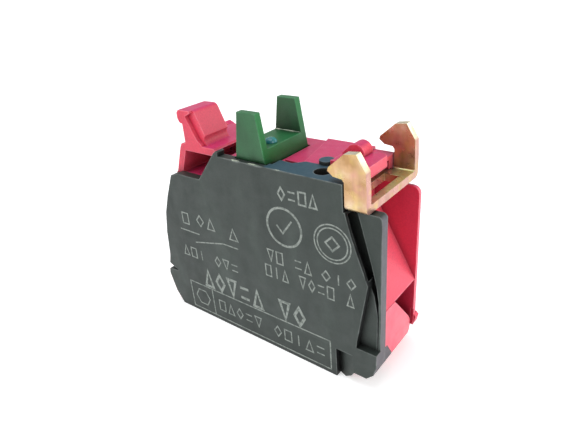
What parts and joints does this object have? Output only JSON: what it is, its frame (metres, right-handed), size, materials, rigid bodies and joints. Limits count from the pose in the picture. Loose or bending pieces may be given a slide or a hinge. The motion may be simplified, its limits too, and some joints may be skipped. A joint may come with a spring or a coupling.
{
  "type": "push button contact block",
  "caption": "Clip-on contact block for a panel push button: slim moulded case, green forked plunger, red latch, bent metal hook clip and screw clamp terminals.",
  "frame": {"origin": "middle of the base, in the middle of the block's length and thickness", "axes": "+Z towards the button head that presses the fork, +X towards the end with the metal clip, -Y out of the printed side cover"},
  "size_m": [0.0306, 0.01, 0.0272],
  "materials": {
    "cover_grey": "fine matt moulded thermoplastic, printed in light grey",
    "housing_red": "satin moulded thermoplastic, slightly translucent",
    "plunger_green": "satin moulded thermoplastic",
    "clip_plated_steel": "yellow passivated zinc on stamped steel",
    "contact_copper": "stamped copper alloy",
    "silver_tip": "dull silver alloy",
    "terminal_steel": "bright zinc plated steel",
    "spring_steel": "drawn spring wire"
  },
  "bodies": {
    "housing": {"rear_housing": "housing_red", "front_cover": "cover_grey", "mounting_clip": "clip_plated_steel", "fixed_strip_left": "contact_copper", "fixed_strip_right": "contact_copper", "fixed_tip_left": "silver_tip", "fixed_tip_right": "silver_tip", "terminal_nut_left": "terminal_steel", "terminal_nut_right": "terminal_steel", "return_spring": "spring_steel"},
    "latch": {"latch_lever": "housing_red"},
    "plunger": {"plunger": "plunger_green", "contact_spring": "spring_steel"},
    "bridge": {"contact_bridge": "contact_copper", "bridge_tip_left": "silver_tip", "bridge_tip_right": "silver_tip"},
    "clamp_left": {"clamp_washer_left": "terminal_steel"},
    "screw_left": {"terminal_screw_left": "terminal_steel"},
    "clamp_right": {"clamp_washer_right": "terminal_steel"},
    "screw_right": {"terminal_screw_right": "terminal_steel"}
  },
  "joints": [
    {"name": "plunger_press", "type": "slide", "parent": "housing", "child": "plunger", "axis": [0, 0, -1], "range_m": [0, 0.0043], "stiffness_N_per_m": 400, "springref_m": -0.003, "deforming": ["return_spring"]},
    {"name": "bridge_follow", "type": "slide", "parent": "plunger", "child": "bridge", "axis": [0, 0, 1], "range_m": [0, 0.0017], "deforming": ["contact_spring"]},
    {"name": "latch_flex", "type": "hinge", "parent": "housing", "child": "latch", "pos_m": [-0.0105, 0, 0.01905], "axis": [0, 1, 0], "range_deg": [0, 5], "stiffness_Nm_per_rad": 0.2, "springref_deg": -1.15},
    {"name": "clamp_left_lift", "type": "slide", "parent": "housing", "child": "clamp_left", "axis": [0, 0, 1], "range_m": [0, 0.0024]},
    {"name": "screw_left_turn", "type": "hinge", "parent": "clamp_left", "child": "screw_left", "pos_m": [-0.0096, 0, 0.003], "axis": [0, 0, 1], "range_deg": [0, 1440]},
    {"name": "clamp_right_lift", "type": "slide", "parent": "housing", "child": "clamp_right", "axis": [0, 0, 1], "range_m": [0, 0.0024]},
    {"name": "screw_right_turn", "type": "hinge", "parent": "clamp_right", "child": "screw_right", "pos_m": [0.0101, 0, 0.003], "axis": [0, 0, 1], "range_deg": [0, 1440]}
  ],
  "couplings": [
    {"joint": "bridge_follow", "follows": "plunger_press", "ratio": 0.3953},
    {"joint": "screw_left_turn", "follows": "clamp_left_lift", "rad_per_m": 10471},
    {"joint": "screw_right_turn", "follows": "clamp_right_lift", "rad_per_m": 10471}
  ]
}
